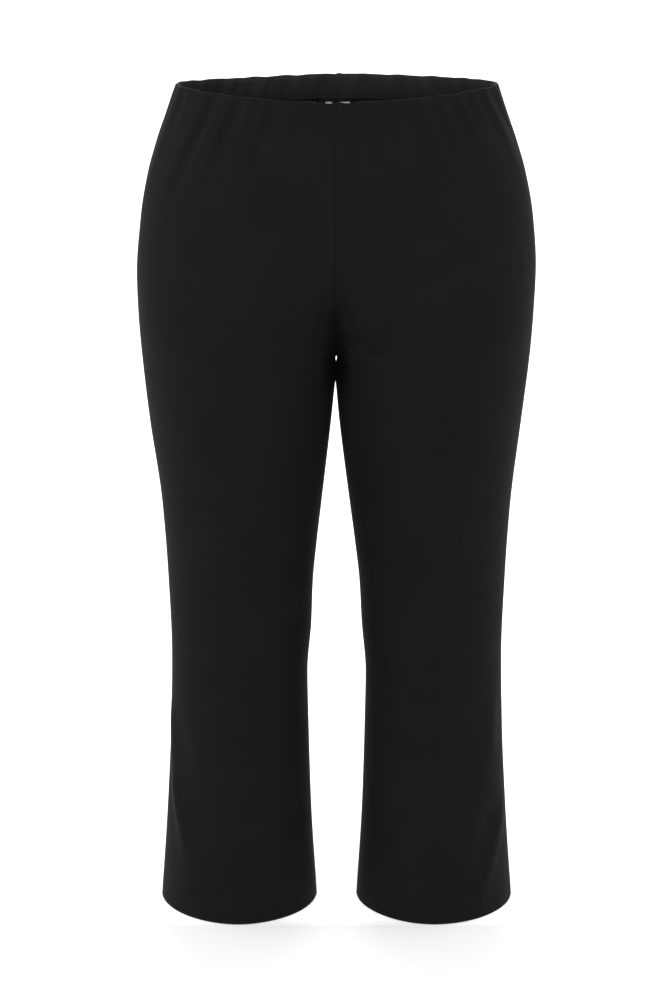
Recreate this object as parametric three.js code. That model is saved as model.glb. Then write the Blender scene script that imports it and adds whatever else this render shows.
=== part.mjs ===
// Flared pull-on trousers in black stretch jersey, hollow and filled out as when they are worn.
// Millimetres, +Z up, the front towards -Y and the wearer's left towards +X.
// The origin is the middle of the waist opening, level with the top of the side seams.
import * as THREE from 'three';

// Driving dimensions. A drop is a depth below the top of the side seams.
const SIDE_LENGTH = 981;
const RISE = 312;
const FRONT_WAIST_DIP = 10;
const DIP_ENDS = 200;
const JERSEY_WALL = 2;
const HEM_WALL = 3.2;
const HEM_DEPTH = 28;
const SEAM_GAP = 0.3;
const CASING_DEPTH = 30.4;
const CASING_WALL = 3;
const LABEL_WIDTH = 40;
const LABEL_DROPS = [26, 38, 50];
const LABEL_WALL = 1;
const LABEL_GAP = 0.7;

// The section of one half at each drop: `outer` is the side seam's distance from the centre plane,
// `front` and `back` are how far the cloth stands before and behind it, and `power` and `inside` are
// the superellipse's exponents on its outer and its inner side, 2 for an ellipse and more for a boxier
// curve.
const SECTIONS = [
  { drop: 0, outer: 182.8, front: 128, back: 128, power: 2.05, inside: 2.05 },
  { drop: 31, outer: 193.6, front: 137, back: 134, power: 2.1, inside: 2.1 },
  { drop: 65, outer: 205.7, front: 145, back: 142, power: 2.15, inside: 2.15 },
  { drop: 100, outer: 216, front: 150, back: 152, power: 2.2, inside: 2.2 },
  { drop: 152, outer: 225.4, front: 152, back: 167, power: 2.2, inside: 2.25 },
  { drop: 215, outer: 230.2, front: 150, back: 176, power: 2.2, inside: 2.4 },
  { drop: 262, outer: 228.7, front: 145, back: 172, power: 2.2, inside: 2.6 },
  { drop: 312, outer: 225, front: 137, back: 159, power: 2.15, inside: 2.6 },
  { drop: 392, outer: 216.4, front: 122, back: 136, power: 2.1, inside: 2.3 },
  { drop: 489, outer: 204.9, front: 106, back: 114, power: 2.05, inside: 2.1 },
  { drop: 586, outer: 199.1, front: 94, back: 98, power: 2.05, inside: 2.05 },
  { drop: 667, outer: 196.6, front: 88, back: 91, power: 2.05, inside: 2.05 },
  { drop: 762, outer: 198.8, front: 89, back: 92, power: 2.05, inside: 2.05 },
  { drop: 872, outer: 204.6, front: 98, back: 100, power: 2.08, inside: 2.1 },
  { drop: 981, outer: 212.8, front: 104, back: 104, power: 1.92, inside: 1.88 },
];

// Where a half's section ends towards the other half, as a distance from the centre plane. Where it
// reaches over the plane it is cut there: above the crotch seam the halves are open to each other,
// and below it the thighs lie against each other along the plane.
const INSEAM = [
  { drop: 152, inner: -225 },
  { drop: 202, inner: -150 },
  { drop: 237, inner: -95 },
  { drop: 264, inner: -55 },
  { drop: 287, inner: -28 },
  { drop: 302, inner: -14 },
  { drop: 312, inner: -8 },
  { drop: 327, inner: -3 },
  { drop: 347, inner: 0.7 },
  { drop: 369, inner: 2.9 },
  { drop: 392, inner: 5.2 },
  { drop: 489, inner: 16.9 },
  { drop: 537, inner: 22.8 },
  { drop: 586, inner: 27.9 },
  { drop: 636, inner: 30.2 },
  { drop: 697, inner: 35 },
  { drop: 762, inner: 33.9 },
  { drop: 862, inner: 31.1 },
  { drop: 981, inner: 24.3 },
];

// How far the cloth sways sideways, towards the wearer's left: at the centre seam or inseam of a panel
// and at its side seam.
const SWAY = [
  { drop: 0, seam: -0.6, side: 0.6 },
  { drop: 62, seam: -1.5, side: 0.3 },
  { drop: 152, seam: -1.5, side: 0.6 },
  { drop: 260, seam: -1.5, side: -0.6 },
  { drop: 312, seam: -0.4, side: -0.8 },
  { drop: 350, seam: -1.4, side: -1 },
  { drop: 392, seam: -1.6, side: -1.2 },
  { drop: 489, seam: -1.2, side: -0.1 },
  { drop: 642, seam: 0, side: 0 },
];

// Each leg turns a little inwards in front on its way from the thigh to the shin: a share of its depth.
const LEG_TURN = 0.026;
const LEG_TURN_FROM = 420;
const LEG_TURN_BY = 800;

const TORSO_ENDS = 152;
const CROTCH_CURVE = 20;
const CROTCH_PULL = 3;
const CROTCH_PULL_REACH = 100;

// The cloth is drawn in along the centre seam, in a hollow that deepens down to the fork of the legs
// and closes again between the thighs.
const FORK_DEEP = 12;
const FORK_WIDE = 28;
const FORK_FROM = 190;
const FORK_FULL = 300;
const FORK_EASES = 308;
const FORK_ENDS = 352;
const FORK_CALM = 90;

// Gathers that the elastic throws up under the waist, and the hollows between them, where `high` is
// below nothing. Each runs over its panel from one place and drop to another, between the centre seam,
// 0, and the side seam, 1. `high` is its height at the top and `wide` its half width.
const FRONT_LEFT_GATHERS = [
  { from: 0.045, top: 2, to: 0.05, bottom: 36, high: -1.2, wide: 6 },
  { from: 0.1, top: 0, to: 0.11, bottom: 48, high: 1.4, wide: 6.8 },
  { from: 0.155, top: 2, to: 0.155, bottom: 34, high: -1.3, wide: 6 },
  { from: 0.185, top: 0, to: 0.175, bottom: 38, high: 1.4, wide: 6 },
  { from: 0.215, top: 2, to: 0.2, bottom: 44, high: -1.4, wide: 6 },
  { from: 0.255, top: 0, to: 0.275, bottom: 64, high: 2.3, wide: 6.8 },
  { from: 0.325, top: 0, to: 0.4, bottom: 112, high: -2.8, wide: 8.2 },
  { from: 0.37, top: 0, to: 0.46, bottom: 108, high: 3.3, wide: 9 },
  { from: 0.435, top: 0, to: 0.52, bottom: 112, high: -2.6, wide: 8.2 },
  { from: 0.48, top: 0, to: 0.53, bottom: 64, high: 2.3, wide: 6.8 },
  { from: 0.525, top: 0, to: 0.6, bottom: 78, high: -2.2, wide: 6.8 },
  { from: 0.56, top: 0, to: 0.65, bottom: 76, high: 2.4, wide: 8.3 },
  { from: 0.605, top: 0, to: 0.65, bottom: 44, high: -1.1, wide: 7.3 },
  { from: 0.65, top: 0, to: 0.71, bottom: 52, high: 1.3, wide: 7.3 },
  { from: 0.7, top: 0, to: 0.775, bottom: 88, high: -1.6, wide: 9.2 },
  { from: 0.745, top: 0, to: 0.87, bottom: 134, high: 1.6, wide: 11 },
  { from: 0.79, top: 0, to: 0.93, bottom: 84, high: -1.3, wide: 9.2 },
  { from: 0.87, top: 0, to: 0.93, bottom: 60, high: 0.8, wide: 10 },
];
const FRONT_RIGHT_GATHERS = [
  { from: 0.05, top: 2, to: 0.065, bottom: 60, high: -1.4, wide: 6 },
  { from: 0.09, top: 0, to: 0.09, bottom: 44, high: 1.6, wide: 6 },
  { from: 0.12, top: 2, to: 0.105, bottom: 42, high: -1.3, wide: 5.2 },
  { from: 0.16, top: 0, to: 0.16, bottom: 38, high: 1.3, wide: 6 },
  { from: 0.21, top: 0, to: 0.21, bottom: 46, high: 1.6, wide: 6.8 },
  { from: 0.25, top: 2, to: 0.26, bottom: 38, high: -1.4, wide: 6 },
  { from: 0.28, top: 0, to: 0.34, bottom: 112, high: -2.2, wide: 8.2 },
  { from: 0.315, top: 0, to: 0.37, bottom: 96, high: 2.5, wide: 7.5 },
  { from: 0.355, top: 2, to: 0.36, bottom: 54, high: -1.7, wide: 6 },
  { from: 0.385, top: 0, to: 0.43, bottom: 128, high: 2.8, wide: 8.2 },
  { from: 0.435, top: 0, to: 0.525, bottom: 126, high: -2.8, wide: 8.2 },
  { from: 0.485, top: 0, to: 0.54, bottom: 112, high: 3.5, wide: 8.2 },
  { from: 0.535, top: 0, to: 0.585, bottom: 104, high: 2.6, wide: 7.5 },
  { from: 0.565, top: 0, to: 0.675, bottom: 134, high: -2.8, wide: 9.2 },
  { from: 0.605, top: 0, to: 0.72, bottom: 110, high: 2.2, wide: 9.2 },
  { from: 0.68, top: 0, to: 0.695, bottom: 40, high: 0.9, wide: 6.3 },
  { from: 0.75, top: 0, to: 0.7, bottom: 42, high: -0.9, wide: 6.3 },
  { from: 0.745, top: 0, to: 0.725, bottom: 54, high: 1.3, wide: 7.3 },
  { from: 0.795, top: 0, to: 0.765, bottom: 40, high: -1.1, wide: 7.3 },
  { from: 0.84, top: 0, to: 0.86, bottom: 130, high: 1.7, wide: 11 },
  { from: 0.93, top: 0, to: 0.95, bottom: 80, high: 1, wide: 10 },
];
const BACK_LEFT_GATHERS = [
  { from: 0.05, top: 0, to: 0.055, bottom: 42, high: 1.7, wide: 6.8 },
  { from: 0.09, top: 2, to: 0.1, bottom: 58, high: -1.4, wide: 6 },
  { from: 0.13, top: 0, to: 0.15, bottom: 76, high: 2.5, wide: 7.5 },
  { from: 0.21, top: 0, to: 0.22, bottom: 50, high: 1.9, wide: 6.8 },
  { from: 0.25, top: 0, to: 0.29, bottom: 92, high: -2.3, wide: 7.5 },
  { from: 0.3, top: 0, to: 0.33, bottom: 88, high: 2.9, wide: 7.5 },
  { from: 0.38, top: 0, to: 0.42, bottom: 58, high: 2.2, wide: 6.8 },
  { from: 0.42, top: 0, to: 0.5, bottom: 104, high: -2.6, wide: 8.2 },
  { from: 0.47, top: 0, to: 0.53, bottom: 96, high: 2.8, wide: 7.5 },
  { from: 0.56, top: 0, to: 0.62, bottom: 66, high: 2.3, wide: 6.8 },
  { from: 0.6, top: 0, to: 0.69, bottom: 112, high: -1.9, wide: 8.2 },
  { from: 0.65, top: 0, to: 0.74, bottom: 106, high: 2.2, wide: 8.2 },
  { from: 0.75, top: 0, to: 0.8, bottom: 76, high: 1.6, wide: 6.8 },
  { from: 0.8, top: 0, to: 0.86, bottom: 90, high: -1.5, wide: 7.5 },
  { from: 0.87, top: 0, to: 0.92, bottom: 92, high: 1.9, wide: 7.5 },
];
const BACK_RIGHT_GATHERS = [
  { from: 0.06, top: 0, to: 0.07, bottom: 58, high: 2.2, wide: 6.8 },
  { from: 0.11, top: 2, to: 0.12, bottom: 40, high: -1.3, wide: 6 },
  { from: 0.15, top: 0, to: 0.16, bottom: 46, high: 1.7, wide: 6 },
  { from: 0.19, top: 0, to: 0.22, bottom: 84, high: -2.2, wide: 7.5 },
  { from: 0.23, top: 0, to: 0.27, bottom: 80, high: 2.8, wide: 7.5 },
  { from: 0.31, top: 0, to: 0.34, bottom: 52, high: 2, wide: 6.8 },
  { from: 0.36, top: 0, to: 0.41, bottom: 98, high: -2.5, wide: 8.2 },
  { from: 0.4, top: 0, to: 0.47, bottom: 100, high: 3, wide: 8.2 },
  { from: 0.49, top: 0, to: 0.53, bottom: 60, high: 2.2, wide: 6.8 },
  { from: 0.54, top: 0, to: 0.62, bottom: 94, high: -2.5, wide: 7.5 },
  { from: 0.58, top: 0, to: 0.67, bottom: 90, high: 2.8, wide: 7.5 },
  { from: 0.67, top: 0, to: 0.73, bottom: 70, high: 1.6, wide: 6.8 },
  { from: 0.72, top: 0, to: 0.81, bottom: 116, high: -1.9, wide: 8.2 },
  { from: 0.77, top: 0, to: 0.86, bottom: 108, high: 2.2, wide: 8.2 },
  { from: 0.89, top: 0, to: 0.93, bottom: 66, high: 1.5, wide: 7.5 },
];
const GATHERS_CALM_AT_EDGE = 0.5;
const GATHERS_FULL_BY = 12;

// Soft folds in the cloth. Each runs straight over its panel from one place and drop to another;
// `high` is a ridge's height, or a trough's depth where it is below nothing, and `wide` its half width.
const FRONT_LEFT_FOLDS = [
  { from: 0.01, top: 266, to: 0.25, bottom: 298, high: -6.5, wide: 5.5 },
  { from: 0.04, top: 275, to: 0.18, bottom: 294, high: 3.6, wide: 5 },
  { from: 0.09, top: 292, to: 0.16, bottom: 308, high: 2, wide: 5 },
  { from: 0.82, top: 705, to: 0.79, bottom: 795, high: 2, wide: 12 },
  { from: 0.79, top: 840, to: 0.66, bottom: 928, high: -2.6, wide: 12 },
  { from: 0.92, top: 835, to: 0.68, bottom: 955, high: 2.6, wide: 11 },
  { from: 0.69, top: 930, to: 0.69, bottom: 981, high: 1.6, wide: 10 },
];
const FRONT_RIGHT_FOLDS = [
  { from: 0.05, top: 280, to: 0.18, bottom: 290, high: -1.3, wide: 7 },
  { from: 0.97, top: 712, to: 0.69, bottom: 942, high: 2.4, wide: 12 },
  { from: 0.88, top: 810, to: 0.71, bottom: 900, high: 1.8, wide: 9 },
  { from: 0.86, top: 720, to: 0.62, bottom: 900, high: -1.5, wide: 14 },
];
const BACK_LEFT_FOLDS = [
  { from: 0.12, top: 314, to: 0.36, bottom: 340, high: -3.2, wide: 12 },
  { from: 0.16, top: 352, to: 0.4, bottom: 374, high: -2.4, wide: 13 },
  { from: 0.3, top: 612, to: 0.62, bottom: 642, high: -2.2, wide: 16 },
  { from: 0.82, top: 762, to: 0.7, bottom: 932, high: 2.2, wide: 15 },
];
const BACK_RIGHT_FOLDS = [
  { from: 0.12, top: 310, to: 0.34, bottom: 334, high: -3.4, wide: 12 },
  { from: 0.18, top: 358, to: 0.44, bottom: 382, high: -2, wide: 13 },
  { from: 0.34, top: 626, to: 0.66, bottom: 652, high: -2, wide: 16 },
  { from: 0.8, top: 782, to: 0.66, bottom: 952, high: 2.2, wide: 15 },
];
const FOLD_END = 0.25;
const SEAM_CALM = 0.05;

// Rows of points down a panel, with how many strips each row is cut into across the panel. A crowding
// above 1 makes the strips narrower towards the centre seam.
const GATHERED_ROWS = { drops: [0, 14, CASING_DEPTH, 52, 74], strips: 48, crowding: 1 };
const HIP_ROWS = { drops: [98, 126, 158], strips: 26, crowding: 1 };
const CROTCH_ROWS = {
  drops: [190, 215, 238, 256, 268, 277, 285, 292, 298, 303, 308, RISE, 319, 327, 336, 346, 358],
  strips: 22,
  crowding: 1.6,
};
const LEG_ROWS = { drops: [382, 414, 458, 512, 572, 637, 702, 767, 832, 888, 925], strips: 15, crowding: 1 };
const HEM_ROWS = {
  drops: [SIDE_LENGTH - HEM_DEPTH - 1, SIDE_LENGTH - HEM_DEPTH, SIDE_LENGTH],
  strips: 15,
  crowding: 1,
};
const SECTION_STEPS = 96;

const JERSEY = new THREE.MeshStandardMaterial({ color: 0x1d1d1f, roughness: 0.85, metalness: 0 });
const LABEL_CLOTH = new THREE.MeshStandardMaterial({ color: 0x18181a, roughness: 0.6, metalness: 0 });

// The panels: which way each faces, which side of the wearer it is on, how far its waist edge sags
// between its seams, and what lies in its cloth.
const PANELS = {
  front_left: {
    facing: 'front', side: 1, sag: 0, gathers: FRONT_LEFT_GATHERS, folds: FRONT_LEFT_FOLDS,
  },
  front_right: {
    facing: 'front', side: -1, sag: 0.4, gathers: FRONT_RIGHT_GATHERS, folds: FRONT_RIGHT_FOLDS,
  },
  back_left: {
    facing: 'back', side: 1, sag: 1.5, gathers: BACK_LEFT_GATHERS, folds: BACK_LEFT_FOLDS,
  },
  back_right: {
    facing: 'back', side: -1, sag: 3.1, gathers: BACK_RIGHT_GATHERS, folds: BACK_RIGHT_FOLDS,
  },
};

// A table's column at a drop, on a smooth curve through its rows that never overshoots them.
function read(table, column, drop) {
  const last = table.length - 1;
  const at = THREE.MathUtils.clamp(drop, table[0].drop, table[last].drop);
  let row = 0;
  while (row < last - 1 && at > table[row + 1].drop) row += 1;
  const slope = (i) => (table[i + 1][column] - table[i][column]) / (table[i + 1].drop - table[i].drop);
  const tangent = (i) => {
    if (i === 0) return slope(0);
    if (i === last) return slope(last - 1);
    const product = slope(i - 1) * slope(i);
    return product <= 0 ? 0 : (2 * product) / (slope(i - 1) + slope(i));
  };
  const span = table[row + 1].drop - table[row].drop;
  const t = (at - table[row].drop) / span;
  const rise = t * t * (3 - 2 * t);
  return table[row][column] * (1 - rise) + table[row + 1][column] * rise
    + span * t * (1 - t) * ((1 - t) * tangent(row) - t * tangent(row + 1));
}

// One half's section at a drop: the middle and half width of its superellipse, depths and exponents.
function sectionAt(drop) {
  const outer = read(SECTIONS, 'outer', drop);
  const inner = drop < TORSO_ENDS ? -outer : read(INSEAM, 'inner', drop);
  return {
    middle: (outer + inner) / 2,
    half: (outer - inner) / 2,
    front: read(SECTIONS, 'front', drop),
    back: read(SECTIONS, 'back', drop),
    power: read(SECTIONS, 'power', drop),
    inside: read(SECTIONS, 'inside', drop),
  };
}

// Below 1 inside a half's section, 1 on it and more outside it.
function field(x, y, drop, facing) {
  const section = sectionAt(drop);
  const power = x < section.middle ? section.inside : section.power;
  const across = Math.abs(x - section.middle) / section.half;
  const along = Math.abs(y) / section[facing];
  return (across ** power + along ** power) ** (1 / power);
}

// The outward direction of the smooth form at a point of it.
function outwardAt(x, y, drop, facing) {
  const step = 1;
  return new THREE.Vector3(
    field(x + step, y, drop, facing) - field(x - step, y, drop, facing),
    field(x, y + step, drop, facing) - field(x, y - step, drop, facing),
    field(x, y, drop - step, facing) - field(x, y, drop + step, facing),
  ).normalize();
}

// The angle on a half's section where its panels start: where the section crosses the centre plane,
// or further in along the plane where the crotch seam curves under between the thighs.
function startAngle(section, drop, facing) {
  const crossing = Math.min(section.middle / section.half, 1) ** (section.inside / 2);
  const seam = CROTCH_CURVE * Math.sqrt(Math.max(RISE - drop, 0));
  const under = Math.min(seam / section[facing], 1) ** (section.inside / 2);
  return Math.max(Math.acos(-crossing), Math.PI - Math.asin(under));
}

// The line of a panel at a drop, as points from its centre seam or inseam round to its side seam.
// `flat` is 1 where the section is cut by the centre plane, `under` is how far the line starts from
// the crotch's middle, and `pull` is above 1 near the crotch, where only the inner part of the panel
// makes room for the curve of the seam.
const lines = new Map();
function panelLine(drop, facing) {
  const key = `${facing} ${drop}`;
  if (!lines.has(key)) {
    const section = sectionAt(drop);
    const sign = facing === 'front' ? -1 : 1;
    const start = startAngle(section, drop, facing);
    const points = [];
    const lengths = [0];
    for (let i = 0; i <= SECTION_STEPS; i += 1) {
      const angle = start * (1 - i / SECTION_STEPS);
      const power = angle > Math.PI / 2 ? section.inside : section.power;
      const across = Math.sign(Math.cos(angle)) * Math.abs(Math.cos(angle)) ** (2 / power);
      const x = section.middle + section.half * across;
      const y = sign * section[facing] * Math.abs(Math.sin(angle)) ** (2 / power);
      points.push({ x: Math.max(x, 0), y, flat: x < -SEAM_GAP ? 1 : 0 });
      const last = points[Math.max(i - 1, 0)];
      if (i > 0) lengths.push(lengths[i - 1] + Math.hypot(points[i].x - last.x, y - last.y));
    }
    const near = THREE.MathUtils.clamp(1 - Math.abs(RISE - drop) / CROTCH_PULL_REACH, 0, 1);
    const pull = 1 + CROTCH_PULL * near * near;
    lines.set(key, { points, lengths, length: lengths[SECTION_STEPS], under: Math.abs(points[0].y), pull });
  }
  return lines.get(key);
}

// The point a given share of the way along a panel's line.
function pointAlong(line, share) {
  const rest = 1 - share;
  const wanted = line.length - rest * (line.length + line.under) + line.under * rest ** line.pull;
  let i = 1;
  while (i < SECTION_STEPS && line.lengths[i] < wanted) i += 1;
  const part = (wanted - line.lengths[i - 1]) / (line.lengths[i] - line.lengths[i - 1]);
  const between = (key) => THREE.MathUtils.lerp(line.points[i - 1][key], line.points[i][key], part);
  return { x: between('x'), y: between('y'), flat: between('flat'), across: wanted };
}

// How far the gathers lift the cloth, or the hollows between them let it in, at a distance across.
function gatherLift(gathers, across, drop, length) {
  let lift = 0;
  for (const gather of gathers) {
    const down = (drop - gather.top) / (gather.bottom - gather.top);
    if (down < 0 || down >= 1) continue;
    const off = (across - THREE.MathUtils.lerp(gather.from, gather.to, down) * length) / gather.wide;
    lift += gather.high * (1 - down ** 1.6) * Math.exp(-off * off);
  }
  const calm = THREE.MathUtils.lerp(GATHERS_CALM_AT_EDGE, 1, Math.min(drop / GATHERS_FULL_BY, 1));
  return lift * calm;
}

// How far the soft folds lift the cloth at a distance across a panel.
function foldLift(folds, across, drop, length) {
  let lift = 0;
  for (const fold of folds) {
    const run = (fold.to - fold.from) * length;
    const down = fold.bottom - fold.top;
    const x = across - fold.from * length;
    const y = drop - fold.top;
    const t = THREE.MathUtils.clamp((x * run + y * down) / (run ** 2 + down ** 2), 0, 1);
    const off = Math.hypot(x - t * run, y - t * down) / fold.wide;
    const ends = Math.min(t, 1 - t) / FOLD_END;
    lift += fold.high * Math.exp(-off * off) * THREE.MathUtils.smoothstep(ends, 0, 1);
  }
  return lift;
}

// How far the cloth is drawn in from the front or back in the hollow above the fork, and how steeply
// the hollow's side falls there.
function forkHollow(place, drop) {
  const deepens = THREE.MathUtils.smoothstep(drop, FORK_FROM, FORK_FULL);
  const closes = THREE.MathUtils.smoothstep(drop, FORK_EASES, FORK_ENDS);
  const calm = THREE.MathUtils.smoothstep(Math.abs(place.y), 0, FORK_CALM);
  const pull = FORK_DEEP * deepens * (1 - closes) * calm * Math.exp(-((place.x / FORK_WIDE) ** 2));
  return { pull, slope: (2 * place.x * pull) / FORK_WIDE ** 2 };
}

// How far the waist's edge dips at a place on a panel, fading on the way down.
function waistDip(panel, share, drop) {
  const front = panel.facing === 'front' ? FRONT_WAIST_DIP * Math.cos((share * Math.PI) / 2) ** 2 : 0;
  const sag = panel.sag * Math.sin(share * Math.PI);
  return (front + sag) * Math.max(1 - drop / DIP_ENDS, 0);
}

// A point of a panel, `inset` under its outer face. The cloth lies calm along its seams, and its wall
// keeps its thickness down the sides of the hollow.
function panelPoint(panel, share, drop, inset) {
  const line = panelLine(drop, panel.facing);
  const place = pointAlong(line, share);
  const outward = outwardAt(place.x, place.y, drop, panel.facing)
    .lerp(new THREE.Vector3(-1, 0, 0), place.flat)
    .normalize();
  const calm = THREE.MathUtils.smoothstep(Math.min(share, 1 - share), 0, SEAM_CALM);
  const gathered = gatherLift(panel.gathers, place.across, drop, line.length);
  const folded = foldLift(panel.folds, place.across, drop, line.length);
  const hollow = forkHollow(place, drop);
  const point = new THREE.Vector3(place.x, place.y, -drop - waistDip(panel, share, drop));
  point.addScaledVector(outward, calm * (gathered + folded) - inset * Math.hypot(1, hollow.slope));
  point.y -= Math.sign(place.y) * hollow.pull;
  const edge = SEAM_GAP / 2;
  point.y = panel.facing === 'front' ? Math.min(point.y, -edge) : Math.max(point.y, edge);
  const turn = LEG_TURN * THREE.MathUtils.smoothstep(drop, LEG_TURN_FROM, LEG_TURN_BY);
  const sway = THREE.MathUtils.lerp(read(SWAY, 'seam', drop), read(SWAY, 'side', drop), share);
  point.x = (Math.max(point.x, edge) + turn * point.y) * panel.side + sway;
  return point;
}

// A closed mesh built from rows of points that are stitched to each other.
class Stitching {
  constructor() {
    this.positions = [];
    this.triangles = [];
  }

  // A row of points, each with its place along the row.
  row(points, places) {
    const first = this.positions.length / 3;
    points.forEach((point) => this.positions.push(point.x, point.y, point.z));
    return points.map((point, i) => ({ index: first + i, place: places[i] }));
  }

  // A strip of triangles from one row to the next, which may hold fewer points.
  strip(upper, lower, flip) {
    let i = 0;
    let j = 0;
    while (i < upper.length - 1 || j < lower.length - 1) {
      const upperNext = i < upper.length - 1 ? upper[i + 1].place : Infinity;
      const lowerNext = j < lower.length - 1 ? lower[j + 1].place : Infinity;
      const third = upperNext <= lowerNext ? upper[i + 1] : lower[j + 1];
      const corners = [upper[i].index, lower[j].index, third.index];
      this.triangles.push(...(flip ? corners.reverse() : corners));
      if (upperNext <= lowerNext) i += 1;
      else j += 1;
    }
  }

  // The strips down a stack of rows.
  strips(rows, flip) {
    for (let i = 0; i < rows.length - 1; i += 1) this.strip(rows[i], rows[i + 1], flip);
  }

  mesh(name, material) {
    const geometry = new THREE.BufferGeometry();
    geometry.setAttribute('position', new THREE.Float32BufferAttribute(this.positions, 3));
    geometry.setIndex(this.triangles);
    geometry.computeVertexNormals();
    const mesh = new THREE.Mesh(geometry, material);
    mesh.name = name;
    return mesh;
  }
}

// Places from 0 to 1, spread evenly or crowded towards 0.
function placesAcross(strips, crowding) {
  return Array.from({ length: strips + 1 }, (_, i) => (i / strips) ** crowding);
}

// A wall in one panel's cloth: an outer and an inner face between two insets, closed at the top and
// the bottom. Each row holds a drop, its strips and their crowding, and its two insets.
function stitchWall(stitching, panel, rows) {
  const outer = [];
  const inner = [];
  for (const row of rows) {
    const places = placesAcross(row.strips, row.crowding);
    const face = (inset) => places.map((place) => panelPoint(panel, place, row.drop, inset));
    outer.push(stitching.row(face(row.outside), places));
    inner.push(stitching.row(face(row.inside), places));
  }
  const flip = (panel.facing === 'back') !== (panel.side < 0);
  stitching.strips(outer, flip);
  stitching.strips(inner, !flip);
  stitching.strip(inner[0], outer[0], flip);
  stitching.strip(outer.at(-1), inner.at(-1), flip);
  return { outer, inner, flip };
}

// The points down one side edge of a stack of rows: 0 is the centre seam or inseam, -1 the side seam.
function edgeOf(rows, pick) {
  return rows.map((row, i) => ({ index: row.at(pick).index, place: i }));
}

// Closes the two side edges of a wall.
function closeEdges(stitching, wall) {
  stitching.strip(edgeOf(wall.outer, 0), edgeOf(wall.inner, 0), wall.flip);
  stitching.strip(edgeOf(wall.inner, -1), edgeOf(wall.outer, -1), wall.flip);
}

// One panel from the waist to the hem, where the cloth is turned up once.
function panelMesh(name) {
  const stitching = new Stitching();
  const rows = [];
  for (const band of [GATHERED_ROWS, HIP_ROWS, CROTCH_ROWS, LEG_ROWS, HEM_ROWS]) {
    for (const drop of band.drops) {
      const inside = drop >= SIDE_LENGTH - HEM_DEPTH ? HEM_WALL : JERSEY_WALL;
      rows.push({ ...band, drop, outside: 0, inside });
    }
  }
  closeEdges(stitching, stitchWall(stitching, PANELS[name], rows));
  return stitching.mesh(name, JERSEY);
}

// The edge of a wall as one closed loop, down its outer face and up its inner one.
function edgeLoop(wall, pick) {
  const loop = [...edgeOf(wall.outer, pick), ...edgeOf(wall.inner, pick).reverse()];
  return [...loop, loop[0]].map((corner, i) => ({ index: corner.index, place: i }));
}

// The casing turned in over the elastic: one gathered ring just inside the panels, made of a wall
// under each panel and a narrow bridge from each to the next.
function casingMesh() {
  const stitching = new Stitching();
  const outside = JERSEY_WALL + SEAM_GAP;
  const rows = GATHERED_ROWS.drops
    .filter((drop) => drop <= CASING_DEPTH)
    .map((drop) => ({ ...GATHERED_ROWS, drop, outside, inside: outside + CASING_WALL }));
  const wall = {};
  for (const name of Object.keys(PANELS)) wall[name] = stitchWall(stitching, PANELS[name], rows);
  const bridge = (next, last, pick) => {
    stitching.strip(edgeLoop(wall[next], pick), edgeLoop(wall[last], pick), false);
  };
  bridge('front_left', 'front_right', 0);
  bridge('back_left', 'front_left', -1);
  bridge('back_right', 'back_left', 0);
  bridge('front_right', 'back_right', -1);
  return stitching.mesh('waist_casing', JERSEY);
}

// The woven label, sewn on the lower edge of the casing at the centre back and hanging below it.
function labelMesh() {
  const stitching = new Stitching();
  const inset = JERSEY_WALL + SEAM_GAP + CASING_WALL + LABEL_GAP;
  const reach = LABEL_WIDTH / 2 / panelLine(CASING_DEPTH, 'back').length;
  const places = [-1, -0.5, 0, 0.5, 1];
  const row = (drop, depth) => {
    const points = places.map((place) => {
      const panel = place < 0 ? PANELS.back_left : PANELS.back_right;
      return panelPoint({ ...panel, gathers: [] }, Math.abs(place) * reach, drop, depth);
    });
    return stitching.row(points, places);
  };
  const outer = LABEL_DROPS.map((drop) => row(drop, inset));
  const inner = LABEL_DROPS.map((drop) => row(drop, inset + LABEL_WALL));
  stitching.strips(outer, false);
  stitching.strips(inner, true);
  stitching.strip(inner[0], outer[0], false);
  stitching.strip(outer.at(-1), inner.at(-1), false);
  closeEdges(stitching, { outer, inner, flip: false });
  return stitching.mesh('label', LABEL_CLOTH);
}

const trousers = new THREE.Group();
Object.keys(PANELS).forEach((name) => trousers.add(panelMesh(name)));
trousers.add(casingMesh(), labelMesh());

export default trousers;
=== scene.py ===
"""Flared pull-on trousers in black stretch jersey: the cloth, its seams and its stitches.

The tables give the garment in millimetres, as the frame's solids have it, and MM turns them into
the frame's metres. A drop is a depth below the top of the side seams. The front faces -Y and the
wearer's left is +X.
"""
import math

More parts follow.
